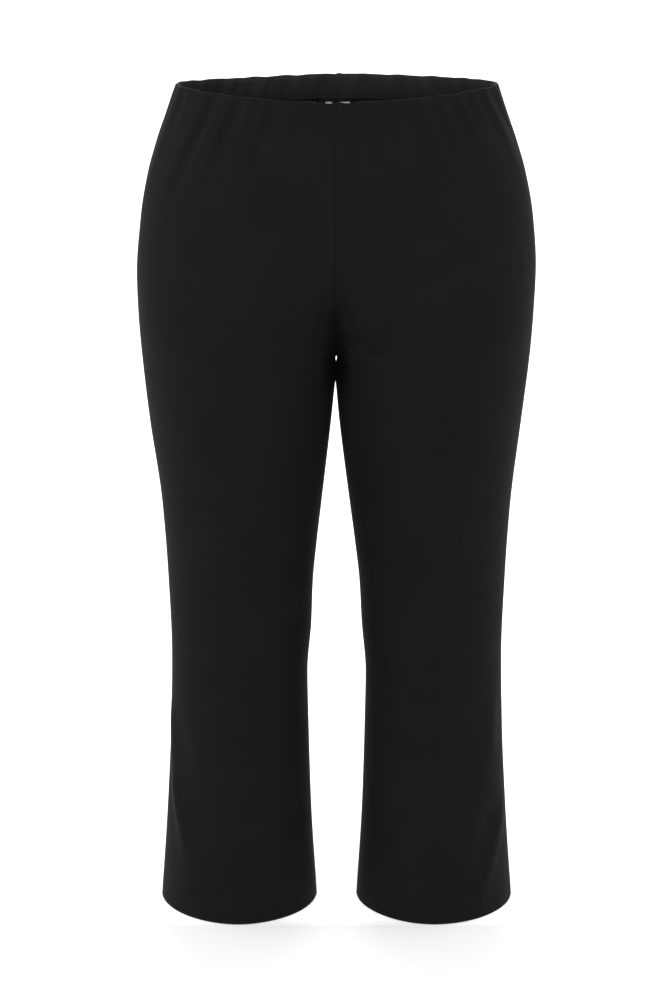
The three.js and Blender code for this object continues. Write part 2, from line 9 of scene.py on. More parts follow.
import bpy
import numpy as np
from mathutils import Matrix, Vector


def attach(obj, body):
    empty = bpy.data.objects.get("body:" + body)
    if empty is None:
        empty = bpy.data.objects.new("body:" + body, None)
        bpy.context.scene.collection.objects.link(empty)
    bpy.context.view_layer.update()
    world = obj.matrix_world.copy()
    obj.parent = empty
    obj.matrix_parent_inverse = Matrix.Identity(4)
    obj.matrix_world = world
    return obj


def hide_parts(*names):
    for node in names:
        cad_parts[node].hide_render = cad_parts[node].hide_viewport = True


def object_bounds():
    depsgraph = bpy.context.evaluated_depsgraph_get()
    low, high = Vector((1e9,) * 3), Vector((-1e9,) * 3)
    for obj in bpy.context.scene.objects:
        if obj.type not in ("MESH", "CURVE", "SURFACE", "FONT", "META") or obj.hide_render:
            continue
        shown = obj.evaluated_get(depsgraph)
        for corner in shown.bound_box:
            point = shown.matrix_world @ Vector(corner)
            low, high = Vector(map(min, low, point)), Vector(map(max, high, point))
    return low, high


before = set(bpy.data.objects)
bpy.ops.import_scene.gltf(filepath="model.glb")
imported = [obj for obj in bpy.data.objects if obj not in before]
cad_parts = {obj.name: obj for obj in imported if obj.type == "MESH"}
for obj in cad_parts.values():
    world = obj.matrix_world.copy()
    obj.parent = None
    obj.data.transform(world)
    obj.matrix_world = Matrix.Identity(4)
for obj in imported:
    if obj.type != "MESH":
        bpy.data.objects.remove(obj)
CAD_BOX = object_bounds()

MM = 0.001


def table(columns, *rows):
    """Rows of numbers as one array for each named column."""
    return dict(zip(columns.split(), np.array(rows, float).T))


# The garment's form. `outer` is the side seam's distance from the centre plane, `front` and `back` are
# the cloth's depths, `power` and `inside` the superellipse's exponents on its outer and inner side.
SECTIONS = table(
    "drop outer front back power inside",
    (0, 182.8, 128, 128, 2.05, 2.05),
    (31, 193.6, 137, 134, 2.1, 2.1),
    (65, 205.7, 145, 142, 2.15, 2.15),
    (100, 216, 150, 152, 2.2, 2.2),
    (152, 225.4, 152, 167, 2.2, 2.25),
    (215, 230.2, 150, 176, 2.2, 2.4),
    (262, 228.7, 145, 172, 2.2, 2.6),
    (312, 225, 137, 159, 2.15, 2.6),
    (392, 216.4, 122, 136, 2.1, 2.3),
    (489, 204.9, 106, 114, 2.05, 2.1),
    (586, 199.1, 94, 98, 2.05, 2.05),
    (667, 196.6, 88, 91, 2.05, 2.05),
    (762, 198.8, 89, 92, 2.05, 2.05),
    (872, 204.6, 98, 100, 2.08, 2.1),
    (981, 212.8, 104, 104, 1.92, 1.88),
)
# Where a half's section ends towards the other half: over the centre plane above the crotch.
INSEAM = table(
    "drop inner",
    (152, -225), (202, -150), (237, -95), (264, -55), (287, -28), (302, -14), (312, -8), (327, -3),
    (347, 0.7), (369, 2.9), (392, 5.2), (489, 16.9), (537, 22.8), (586, 27.9), (636, 30.2), (697, 35),
    (762, 33.9), (862, 31.1), (981, 24.3),
)
# How far the cloth sways to the wearer's left, at the centre seam or inseam and at the side seams.
SWAY = table(
    "drop seam side",
    (0, -0.6, 0.6), (62, -1.5, 0.3), (152, -1.5, 0.6), (260, -1.5, -0.6), (312, -0.4, -0.8),
    (350, -1.4, -1), (392, -1.6, -1.2), (489, -1.2, -0.1), (642, 0, 0),
)
# Each leg turns a little inwards in front below the thigh: a share of its depth there.
LEG_TURN = 0.026
LEG_TURN_FROM = 420
LEG_TURN_BY = 800

# The length down the side seams, the drop of the crotch seam, and the depths of the casing and the hem.
SIDE_LENGTH = 981
RISE = 312
CASING_DEPTH = 30.4
HEM_DEPTH = 28

# Above TORSO_ENDS both halves share one section. The crotch seam runs under the body on a curve, and
# the points of the rows near the rise are drawn towards it.
TORSO_ENDS = 152
SECTION_STEPS = 240
CROTCH_CURVE = 20
CROTCH_PULL = 3
CROTCH_PULL_REACH = 100

# Below the crotch the thighs' cloth lies on the centre plane, and leaves it round a soft corner.
THIGH_CORNER = 4
THIGH_CORNER_REACH = 14
THIGH_PRESSED = -8

# The small gap left right under the crotch: it runs from front to back, a little lower behind.
EYE_WIDE = 0.9
EYE_REACH = 20
EYE_LOW = 4.5
EYE_HALF_HIGH = 4.5
EYE_SLOPE = 0.187
EYE_OPENS = 3

# The hollow that runs down the centre, front and back, to the fork of the legs.
FORK_DEEP = 38
FORK_WIDE = 17
FORK_FROM = 190
FORK_FULL = 300
FORK_EASES = 308
FORK_ENDS = 352
FORK_CALM = 90

# How the waist's edge dips at the front, and at the centre seams.
FRONT_WAIST_DIP = 10
FRONT_CENTRE_DIP = 1.3
FRONT_CENTRE_DIP_WIDE = 20
BACK_CENTRE_DIP = 0.9
BACK_CENTRE_DIP_WIDE = 12
DIP_ENDS = 200

# Gathers that the elastic throws up, and the hollows between them, where `high` is below nothing.
# Each runs straight over its panel from a share and a drop to another, between the centre seam, 0, and
# the side seam, 1, and is `wide` to each side of its middle.
GATHER_COLUMNS = "at top to bottom high wide"
FRONT_LEFT_GATHERS = table(
    GATHER_COLUMNS,
    (0.045, 2, 0.05, 36, -1.2, 6), (0.1, 0, 0.11, 48, 1.4, 6.8), (0.155, 2, 0.155, 34, -1.3, 6),
    (0.185, 0, 0.175, 38, 1.4, 6), (0.215, 2, 0.2, 44, -1.4, 6), (0.255, 0, 0.275, 64, 2.3, 6.8),
    (0.325, 0, 0.4, 112, -2.8, 8.2), (0.37, 0, 0.46, 108, 3.3, 9), (0.435, 0, 0.52, 112, -2.6, 8.2),
    (0.48, 0, 0.53, 64, 2.3, 6.8), (0.525, 0, 0.6, 78, -2.2, 6.8), (0.56, 0, 0.65, 76, 2.4, 8.3),
    (0.605, 0, 0.65, 44, -1.1, 7.3), (0.65, 0, 0.71, 52, 1.3, 7.3), (0.7, 0, 0.775, 88, -1.6, 9.2),
    (0.745, 0, 0.87, 134, 1.6, 11), (0.79, 0, 0.93, 84, -1.3, 9.2), (0.87, 0, 0.93, 60, 0.8, 10),
)
FRONT_RIGHT_GATHERS = table(
    GATHER_COLUMNS,
    (0.05, 2, 0.065, 60, -1.4, 6), (0.09, 0, 0.09, 44, 1.6, 6), (0.12, 2, 0.105, 42, -1.3, 5.2),
    (0.16, 0, 0.16, 38, 1.3, 6), (0.21, 0, 0.21, 46, 1.6, 6.8), (0.25, 2, 0.26, 38, -1.4, 6),
    (0.28, 0, 0.34, 112, -2.2, 8.2), (0.315, 0, 0.37, 96, 2.5, 7.5), (0.355, 2, 0.36, 54, -1.7, 6),
    (0.385, 0, 0.43, 128, 2.8, 8.2), (0.435, 0, 0.525, 126, -2.8, 8.2), (0.485, 0, 0.54, 112, 3.5, 8.2),
    (0.535, 0, 0.585, 104, 2.6, 7.5), (0.565, 0, 0.675, 134, -2.8, 9.2), (0.605, 0, 0.72, 110, 2.2, 9.2),
    (0.68, 0, 0.695, 40, 0.9, 6.3), (0.75, 0, 0.7, 42, -0.9, 6.3), (0.745, 0, 0.725, 54, 1.3, 7.3),
    (0.795, 0, 0.765, 40, -1.1, 7.3), (0.84, 0, 0.86, 130, 1.7, 11), (0.93, 0, 0.95, 80, 1, 10),
)
BACK_LEFT_GATHERS = table(
    GATHER_COLUMNS,
    (0.05, 0, 0.055, 42, 1.7, 6.8), (0.09, 2, 0.1, 58, -1.4, 6), (0.13, 0, 0.15, 76, 2.5, 7.5),
    (0.21, 0, 0.22, 50, 1.9, 6.8), (0.25, 0, 0.29, 92, -2.3, 7.5), (0.3, 0, 0.33, 88, 2.9, 7.5),
    (0.38, 0, 0.42, 58, 2.2, 6.8), (0.42, 0, 0.5, 104, -2.6, 8.2), (0.47, 0, 0.53, 96, 2.8, 7.5),
    (0.56, 0, 0.62, 66, 2.3, 6.8), (0.6, 0, 0.69, 112, -1.9, 8.2), (0.65, 0, 0.74, 106, 2.2, 8.2),
    (0.75, 0, 0.8, 76, 1.6, 6.8), (0.8, 0, 0.86, 90, -1.5, 7.5), (0.87, 0, 0.92, 92, 1.9, 7.5),
)
BACK_RIGHT_GATHERS = table(
    GATHER_COLUMNS,
    (0.06, 0, 0.07, 58, 2.2, 6.8), (0.11, 2, 0.12, 40, -1.3, 6), (0.15, 0, 0.16, 46, 1.7, 6),
    (0.19, 0, 0.22, 84, -2.2, 7.5), (0.23, 0, 0.27, 80, 2.8, 7.5), (0.31, 0, 0.34, 52, 2, 6.8),
    (0.36, 0, 0.41, 98, -2.5, 8.2), (0.4, 0, 0.47, 100, 3, 8.2), (0.49, 0, 0.53, 60, 2.2, 6.8),
    (0.54, 0, 0.62, 94, -2.5, 7.5), (0.58, 0, 0.67, 90, 2.8, 7.5), (0.67, 0, 0.73, 70, 1.6, 6.8),
    (0.72, 0, 0.81, 116, -1.9, 8.2), (0.77, 0, 0.86, 108, 2.2, 8.2), (0.89, 0, 0.93, 66, 1.5, 7.5),
)
NO_GATHERS = dict.fromkeys(GATHER_COLUMNS.split(), ())
GATHER_FADE = 1.6
GATHERS_CALM_AT_EDGE = 0.5
GATHERS_FULL_BY = 12

# Soft folds, each straight over its panel: a ridge, or a trough where `high` is below nothing.
FOLD_COLUMNS = "from top to bottom high wide"
FRONT_LEFT_FOLDS = table(
    FOLD_COLUMNS,
    (0.01, 266, 0.25, 298, -6.5, 5.5),
    (0.04, 275, 0.18, 294, 3.6, 5),
    (0.09, 292, 0.16, 308, 2, 5),
    (0.82, 705, 0.79, 795, 2, 12),
    (0.79, 840, 0.66, 928, -2.6, 12),
    (0.92, 835, 0.68, 955, 2.6, 11),
    (0.69, 930, 0.69, 981, 1.6, 10),
)
FRONT_RIGHT_FOLDS = table(
    FOLD_COLUMNS,
    (0.05, 280, 0.18, 290, -1.3, 7),
    (0.97, 712, 0.69, 942, 2.4, 12),
    (0.88, 810, 0.71, 900, 1.8, 9),
    (0.86, 720, 0.62, 900, -1.5, 14),
)
BACK_LEFT_FOLDS = table(
    FOLD_COLUMNS,
    (0.12, 314, 0.36, 340, -3.2, 12),
    (0.16, 352, 0.4, 374, -2.4, 13),
    (0.3, 612, 0.62, 642, -2.2, 16),
    (0.82, 762, 0.7, 932, 2.2, 15),
)
BACK_RIGHT_FOLDS = table(
    FOLD_COLUMNS,
    (0.12, 310, 0.34, 334, -3.4, 12),
    (0.18, 358, 0.44, 382, -2, 13),
    (0.34, 626, 0.66, 652, -2, 16),
    (0.8, 782, 0.66, 952, 2.2, 15),
)
FOLD_END = 0.25
# Gathers and folds stay this share of a panel off its seams.
SEAM_CALM = 0.05

# Each panel: where it faces, the wearer's side (left 1, right -1), how far its waist's edge sags between
# the seams, its gathers and folds, and the seed of its small unevenness.
PANELS = {
    "front_left": dict(
        facing="front", side=1, sag=0, gathers=FRONT_LEFT_GATHERS, folds=FRONT_LEFT_FOLDS, seed=1,
    ),
    "front_right": dict(
        facing="front", side=-1, sag=0.4, gathers=FRONT_RIGHT_GATHERS, folds=FRONT_RIGHT_FOLDS, seed=2,
    ),
    "back_left": dict(
        facing="back", side=1, sag=1.5, gathers=BACK_LEFT_GATHERS, folds=BACK_LEFT_FOLDS, seed=3,
    ),
    "back_right": dict(
        facing="back", side=-1, sag=3.1, gathers=BACK_RIGHT_GATHERS, folds=BACK_RIGHT_FOLDS, seed=4,
    ),
}

# The cloth's wall, its rolled waist and its hem, with the turns of a folded edge in degrees.
JERSEY_WALL = 1.8
ROLL_RADIUS = 1.8
HEM_RADIUS = 1.6
EDGE_TURNS = (78, 60, 42, 24, 8)
CASING_TOP_TURNS = (24, 18, 12, 4)
CASING_EDGE_TURNS = (30, 60, 80)

# Seams: the panels meet just past the centre plane, in a groove that deepens below the waist, beside
# the ridge of the allowance pressed to one side.
SEAM_EDGE = -0.04
SEAM_GROOVE = 0.7
SEAM_GROOVE_WIDE = 1.9
SEAM_GROOVE_AT_WAIST = 0.15
SEAM_GROOVE_DEEPENS = 35
SEAM_GROOVE_FULL = 70
ALLOWANCE_HIGH = 0.3
ALLOWANCE_WIDE = 8
ALLOWANCE_RISES = 3
ALLOWANCE_FALLS = 2.5

# Small unevenness: long low waves, puckers along the elastic, and the waist's wavy edge, which is
# lifted where the centre seam's allowances lie under it.
WAVE_LENGTHS = (70, 190)
WAVE_TURN = 0.5
UNEVEN_HIGH = 0.35
UNEVEN_WAVES = 6
PUCKERS = 21
PUCKER_HIGH = 0.35
PUCKER_WIDE = 0.8
PUCKERS_END = 40
RIM_WAVE = 0.9
RIM_WAVES = 5
RIM_WAVE_SHORTER = 2.6
RIM_WAVE_ENDS = 45
RIM_SEAM_HIGH = 1.1
RIM_SEAM_AT = 3.4
RIM_SEAM_WIDE = 3.8
RIM_SEAM_ENDS = 10

# The casing: its gap over the roll, its ripples, its swell, and its seam at the centres, whose places
# and widths are shares of a panel.
CASING_OVER_ROLL = 0.35
CASING_RIPPLES = 15
CASING_RIPPLE_HIGH = 1.5
CASING_RIPPLE_WIDE = 0.55
CASING_RIPPLE_AT_TOP = 0.35
CASING_SWELL = 1.3
CASING_SEAM_OFF = 0.006
CASING_SEAM_LEAN = 0.014
CASING_SEAM_GROOVE = 0.7
CASING_SEAM_WIDE = 0.005
CASING_SEAM_RIDGE = 0.5
CASING_SEAM_RISES = 0.008
CASING_SEAM_ENDS = 0.026

# The label and the two plain bars woven across it: from and to, towards the wearer's left, in their
# band of drops.
LABEL_WIDTH = 40
LABEL_DROPS = (26, 50)
LABEL_INSET = 5.7
LABEL_WALL = 0.6
LABEL_CURL = 1.1
LABEL_CURLS = 5
LABEL_STEPS = 60
LABEL_BARS = ((-12.0, -3.8), (4.9, 17.0))
LABEL_BAR_DROPS = (32.1, 34.9)

# The hem's two lines of stitches.
STITCH_LONG = 2.7
STITCH_PITCH = 3.3
STITCH_WIDE = 0.55
STITCH_HIGH = 0.28
STITCH_SUNK = 0.1
STITCH_STATIONS = (0, 0.22, 0.78, 1)
STITCHES_END = 2
HEM_STITCH_DROPS = (955.2, 958.6)

# Fineness of the cloth, in ribs or threads to a metre.
WALES_PER_METRE = 450
TAPE_THREADS_PER_METRE = 700
# A wave texture with a Scale of pi / 10 makes one band to a metre.
ONE_BAND_PER_METRE = math.pi / 10

# The camera, the floor and the lights, in metres and degrees.
CAMERA_SIDEWAYS = -0.0007
CAMERA_DISTANCE = 3.21
CAMERA_HEIGHT = 0.283
CAMERA_PITCH = 13.6
CAMERA_LENS = 100
FLOOR_SIZE = 60
FLOOR_UNDER = 0.0005
FLOOR_WHITE = 0.65
# The floor's glow is painted light: it grows with distance, and from the hems' fronts back it fills in the
# legs' shade on the floor.
FLOOR_GLOW = (0.14, 0.41)
FLOOR_GLOW_REACH = (0.3, 3)
FLOOR_BACK_GLOW = 0.44
FLOOR_BACK_REACH = (-0.108, -0.072)
WORLD_LIGHT = 1
SOFTBOX_SPREAD = 60
PICTURE_GAMMA = 0.85


# ---------------------------------------------------------------- the form

def read(rows, column, drop):
    """A column at a drop, on a smooth curve through the table's rows that never overshoots them."""
    at, value = rows["drop"], rows[column]
    slope = np.diff(value) / np.diff(at)
    product = slope[:-1] * slope[1:]
    total = np.where(product > 0, slope[:-1] + slope[1:], 1)
    tangent = np.concatenate([slope[:1], np.where(product > 0, 2 * product / total, 0), slope[-1:]])
    drop = np.clip(drop, at[0], at[-1])
    row = np.clip(np.searchsorted(at, drop, side="right") - 1, 0, len(at) - 2)
    span = at[row + 1] - at[row]
    t = (drop - at[row]) / span
    rise = t * t * (3 - 2 * t)
    bend = span * t * (1 - t) * ((1 - t) * tangent[row] - t * tangent[row + 1])
    return value[row] * (1 - rise) + value[row + 1] * rise + bend


def smooth(t):
    """A smooth step from 0 to 1."""
    t = np.clip(t, 0, 1)
    return t * t * (3 - 2 * t)


def section_at(drop):
    """One half's section: the middle and half width of its superellipse, depths and exponents."""
    outer = read(SECTIONS, "outer", drop)
    inner = -outer if drop < TORSO_ENDS else read(INSEAM, "inner", drop)
    section = {name: read(SECTIONS, name, drop) for name in ("front", "back", "power", "inside")}
    return dict(section, middle=(outer + inner) / 2, half=(outer - inner) / 2)


def field(x, y, drop, facing):
    """Below 1 inside a half's section, 1 on it and more outside it."""
    section = section_at(drop)
    power = np.where(x < section["middle"], section["inside"], section["power"])
    across = np.abs(x - section["middle"]) / section["half"]
    along = np.abs(y) / section[facing]
    return (across ** power + along ** power) ** (1 / power)


def outward_at(x, y, drop, facing):
    """The outward directions of the smooth form at points of it."""
    step = 1
    slopes = np.stack([
        field(x + step, y, drop, facing) - field(x - step, y, drop, facing),
        field(x, y + step, drop, facing) - field(x, y - step, drop, facing),
        field(x, y, drop - step, facing) - field(x, y, drop + step, facing),
    ], -1)
    return slopes / np.linalg.norm(slopes, axis=-1, keepdims=True)


def start_angle(section, drop, facing):
    """Where a panel starts on the section: at the centre plane, or under the crotch along the seam."""
    crossing = min(section["middle"] / section["half"], 1) ** (section["inside"] / 2)
    seam = CROTCH_CURVE * math.sqrt(max(RISE - drop, 0))
    under = min(seam / section[facing], 1) ** (section["inside"] / 2)
    return max(math.acos(-crossing), math.pi - math.asin(under))


def places_on(panel, drop, shares):
    """Points of a panel's smooth form at one drop, in millimetres, with their outward directions and
    the panel's length across. `shares` run from the centre seam or inseam, 0, to the side seam, 1."""
    facing = panel["facing"]
    section = section_at(drop)
    angle = start_angle(section, drop, facing) * (1 - np.arange(SECTION_STEPS + 1) / SECTION_STEPS)
    power = np.where(angle > math.pi / 2, section["inside"], section["power"])
    across = np.sign(np.cos(angle)) * np.abs(np.cos(angle)) ** (2 / power)
    sign = -1 if facing == "front" else 1
    x = section["middle"] + section["half"] * across
    y = sign * section[facing] * np.abs(np.sin(angle)) ** (2 / power)
    # Below the crotch seam the cloth turns onto the centre plane round a soft corner.
    below = smooth((drop - RISE + (y / CROTCH_CURVE) ** 2) / THIGH_CORNER_REACH)
    pressed = np.clip((section["middle"] - section["half"]) / THIGH_PRESSED, 0, 1)
    corner = THIGH_CORNER * pressed * below + 1e-6
    root = np.sqrt(x * x + corner * corner)
    flat = 0.5 * (1 - x / root) * below
    x = 0.5 * (x + root)
    lengths = np.concatenate([[0], np.cumsum(np.hypot(np.diff(x), np.diff(y)))])
    near = np.clip(1 - abs(RISE - drop) / CROTCH_PULL_REACH, 0, 1)
    pull = 1 + CROTCH_PULL * near * near
    under = abs(y[0])
    rest = 1 - shares
    wanted = lengths[-1] - rest * (lengths[-1] + under) + under * rest ** pull
    x, y, flat = (np.interp(wanted, lengths, values) for values in (x, y, flat))
    inward = np.array([-1.0, 0, 0])
    outward = outward_at(x, y, drop, facing) * (1 - flat[:, None]) + inward * flat[:, None]
    outward /= np.linalg.norm(outward, axis=1, keepdims=True)
    return x, y, outward, wanted, lengths[-1]


def waves(seed, count, across, down):
    """A sum of long uneven waves over a panel, between about -1 and 1, the same each run."""
    random = np.random.default_rng(seed)
    total = 0
    for _ in range(count):
        turn = random.uniform(-WAVE_TURN, WAVE_TURN)
        length = random.uniform(*WAVE_LENGTHS)
        phase = random.uniform(0, 2 * math.pi)
        along = across * math.cos(turn) + down * math.sin(turn)
        total = total + np.sin(along * 2 * math.pi / length + phase)
    return total / count


def gather_lift(panel, across, drop, length):
    """How far the gathers lift the cloth, or the hollows between them let it in."""
    lift = 0
    for start, top, end, bottom, high, wide in zip(*panel["gathers"].values()):
        down = (drop - top) / (bottom - top)
        if not 0 <= down < 1:
            continue
        off = (across - (start + (end - start) * down) * length) / wide
        lift = lift + high * (1 - down ** GATHER_FADE) * np.exp(-off * off)
    calm = GATHERS_CALM_AT_EDGE + (1 - GATHERS_CALM_AT_EDGE) * min(drop / GATHERS_FULL_BY, 1)
    return lift * calm


def fold_lift(panel, across, drop, length):
    """How far the soft folds lift the cloth."""
    lift = 0
    for start, top, end, bottom, high, wide in zip(*panel["folds"].values()):
        run = (end - start) * length
        down = bottom - top
        x = across - start * length
        y = drop - top
        t = np.clip((x * run + y * down) / (run * run + down * down), 0, 1)
        off = np.hypot(x - t * run, y - t * down) / wide
        lift = lift + high * np.exp(-off * off) * smooth(np.minimum(t, 1 - t) / FOLD_END)
    return lift


def seam_lift(across, drop, length):
    """The groove along both seams, and the ridge of the allowance pressed to one side under it."""
    edge = np.minimum(across, length - across)
    full = smooth((drop - SEAM_GROOVE_DEEPENS) / (SEAM_GROOVE_FULL - SEAM_GROOVE_DEEPENS))
    deep = SEAM_GROOVE * (SEAM_GROOVE_AT_WAIST + (1 - SEAM_GROOVE_AT_WAIST) * full)
    groove = -deep * np.exp(-((edge / SEAM_GROOVE_WIDE) ** 2))
    rises = smooth(across / ALLOWANCE_RISES)
    falls = smooth((ALLOWANCE_WIDE - across) / ALLOWANCE_FALLS + 0.5)
    return groove + ALLOWANCE_HIGH * rises * falls


def pucker_lift(panel, shares, drop):
    """Fine puckers along the elastic, between and across the gathers."""
    random = np.random.default_rng(panel["seed"] + 10)
    lift = 0
    for number in range(PUCKERS):
        at = (number + random.uniform(0.2, 0.8)) / PUCKERS
        high = PUCKER_HIGH * random.uniform(0.3, 1)
        long = PUCKERS_END * random.uniform(0.6, 1.1)
        lean = random.uniform(-0.006, 0.012)
        off = (shares - at - lean * drop / long) * PUCKERS / PUCKER_WIDE
        lift = lift + high * np.exp(-off * off) * max(1 - drop / long, 0)
    return lift


def eye_gap(x, y, drop):
    """How far the cloth keeps off the centre plane right under the crotch seam."""
    under = (drop - EYE_SLOPE * y - RISE - EYE_LOW) / EYE_HALF_HIGH
    seam = smooth((drop - RISE + (y / CROTCH_CURVE) ** 2) / EYE_OPENS)
    return EYE_WIDE * np.exp(-under ** 4 - (x / EYE_REACH) ** 2) * seam


def fork_pull(x, y, drop):
    """How far the cloth is drawn in from the front or back, in the hollow down the centre to the fork."""
    deep = smooth((drop - FORK_FROM) / (FORK_FULL - FORK_FROM))
    deep = deep * (1 - smooth((drop - FORK_EASES) / (FORK_ENDS - FORK_EASES)))
    return FORK_DEEP * deep * np.exp(-((x / FORK_WIDE) ** 2)) * smooth(np.abs(y) / FORK_CALM)


def rim_wave(panel, across, drop):
    """How unevenly the elastic holds the waist's edge."""
    wave = RIM_WAVE * waves(panel["seed"] + 20, RIM_WAVES, across * RIM_WAVE_SHORTER, 0 * across)
    return wave * max(1 - drop / RIM_WAVE_ENDS, 0)


def rim_seam(panel, across, drop):
    """How much the allowances of the centre seam, pressed to the wearer's left, lift the rolled edge."""
    if panel["side"] < 0:
        return 0
    ridge = RIM_SEAM_HIGH * np.exp(-(((across - RIM_SEAM_AT) / RIM_SEAM_WIDE) ** 2))
    return ridge * max(1 - drop / RIM_SEAM_ENDS, 0)


def sway(drop, shares):
    """How far the cloth sways sideways."""
    return read(SWAY, "seam", drop) * (1 - shares) + read(SWAY, "side", drop) * shares


def cloth_lift(panel, shares, drop, across, length, dent):
    """How far a panel's cloth stands out of its smooth form, and how free it is of its seams."""
    calm = smooth(np.minimum(shares, 1 - shares) / SEAM_CALM)
    lift = gather_lift(panel, across, drop, length) + fold_lift(panel, across, drop, length)
    uneven = UNEVEN_HIGH * waves(panel["seed"], UNEVEN_WAVES, across, drop)
    lift = calm * (lift + pucker_lift(panel, shares, drop) + uneven)
    if dent:
        lift = lift + seam_lift(across, drop, length)
    return lift, calm


def waist_dip(panel, shares, drop, across, calm):
    """How far the cloth sits lower where the waist's edge dips, sags and waves."""
    dip = panel["sag"] * np.sin(shares * math.pi)
    if panel["facing"] == "front":
        dip = dip + FRONT_WAIST_DIP * np.cos(shares * math.pi / 2) ** 2
        dip = dip + FRONT_CENTRE_DIP * np.exp(-((across / FRONT_CENTRE_DIP_WIDE) ** 2))
    else:
        dip = dip + BACK_CENTRE_DIP * np.exp(-((across / BACK_CENTRE_DIP_WIDE) ** 2))
    dip = dip * max(1 - drop / DIP_ENDS, 0)
    return dip + calm * rim_wave(panel, across, drop) - rim_seam(panel, across, drop)


def cloth_row(panel, shares, drop, inset, dent=True):
    """A row of points of a panel in metres, `inset` millimetres under the outer face of its cloth, with
    their places on the flat cloth. Without `dent` the row keeps out of the seams' grooves."""
    # The panel's own edge goes first, because the seam is closed over it.
    inset = np.broadcast_to(inset, len(shares))
    inset = np.append(inset[0], inset)
    shares = np.append(0, shares)
    x, y, outward, across, length = places_on(panel, drop, shares)
    lift, calm = cloth_lift(panel, shares, drop, across, length, dent)
    dip = waist_dip(panel, shares, drop, across, calm)
    points = np.stack([x, y, -drop - dip], 1) + outward * np.reshape(lift - inset, (-1, 1))
    points[:, 1] -= np.sign(y) * fork_pull(x, y, drop)
    points[:, 0] = np.maximum(points[:, 0], SEAM_EDGE) + eye_gap(x, points[:, 1], drop)
    if drop < RISE:
        points[:, 0] -= (points[0, 0] - SEAM_EDGE) * np.exp(-((across / SEAM_GROOVE_WIDE) ** 2))
    turned = smooth((drop - LEG_TURN_FROM) / (LEG_TURN_BY - LEG_TURN_FROM))
    points[:, 0] += LEG_TURN * turned * points[:, 1]
    points[:, 0] = points[:, 0] * panel["side"] + sway(drop, shares)
    if panel["facing"] == "front":
        points[:, 1] = np.minimum(points[:, 1], -SEAM_EDGE)
    else:
        points[:, 1] = np.maximum(points[:, 1], SEAM_EDGE)
    return points[1:] * MM, np.stack([across, np.full_like(across, drop)], 1)[1:] * MM


# ---------------------------------------------------------------- meshes

class Stitching:
    """A closed mesh built from rows of points that are joined to each other."""

    def __init__(self):
        self.points = []
        self.maps = []
        self.faces = []
        self.finishes = []
        self.count = 0

    def row(self, points, maps):
        first = self.count
        self.points.append(points)
        self.maps.append(maps)
        self.count += len(points)
        return np.arange(first, self.count)

    def strip(self, upper, lower, flip, finish=0):
        quads = np.stack([upper[:-1], lower[:-1], lower[1:], upper[1:]], 1)
        self.faces.extend((quads[:, ::-1] if flip else quads).tolist())
        self.finishes.extend(np.broadcast_to(finish, len(quads)).tolist())

    def piece(self, name, *materials):
        points = np.concatenate(self.points)
        mesh = bpy.data.meshes.new(name)
        mesh.from_pydata(points.tolist(), [], self.faces)
        mesh.update()
        corners = np.empty(len(mesh.loops), int)
        mesh.loops.foreach_get("vertex_index", corners)
        layer = mesh.uv_layers.new(name="cut")
        layer.data.foreach_set("uv", np.concatenate(self.maps)[corners].astype(np.float32).ravel())
        mesh.shade_smooth()
        for material in materials:
            mesh.materials.append(material)
        mesh.polygons.foreach_set("material_index", self.finishes)
        piece = bpy.data.objects.new(name, mesh)
        bpy.context.collection.objects.link(piece)
        return piece


def spread(*stretches):
    """Places along a line: each stretch is (start, end, step)."""
    places = [np.arange(start, end - step / 2, step) for start, end, step in stretches]
    return np.concatenate([*places, [stretches[-1][1]]])


def wall(stitching, panel, shares, rows, inner_finish=0):
    """A wall in one panel's cloth. Each row holds a drop and an inset for its outer and inner face.
    Its last argument picks the material of its inner face: the panels pick the inside jersey, which is
    painted lighter as painted light."""
    outer = [stitching.row(*cloth_row(panel, shares, drop, inset)) for drop, inset, _, _ in rows]
    inner = [stitching.row(*cloth_row(panel, shares, drop, inset)) for _, _, drop, inset in rows]
    flip = (panel["facing"] == "back") != (panel["side"] < 0)
    for i in range(len(rows) - 1):
        stitching.strip(outer[i], outer[i + 1], flip)
        stitching.strip(inner[i], inner[i + 1], not flip, inner_finish)
    stitching.strip(inner[0], outer[0], flip)
    stitching.strip(outer[-1], inner[-1], flip)
    return np.array(outer), np.array(inner), flip


def round_edge(radius, start, down):
    """Rows round a folded edge at a drop, from its tip onto both faces, or back to its tip."""
    rows = []
    for turn in np.radians(EDGE_TURNS):
        drop = start + down * radius * (math.sin(turn) - 1)
        rows.append((drop, radius * (1 - math.cos(turn)), drop, radius * (1 + math.cos(turn))))
    return rows


def panel_shares():
    """Places across a panel, closer together at its seams."""
    return np.unique(np.concatenate([
        spread((0, 0.012, 0.002), (0.012, 0.04, 0.004)),
        spread((0.04, 0.96, 0.00836)),
        spread((0.96, 0.988, 0.004), (0.988, 1, 0.002)),
    ]).round(5))


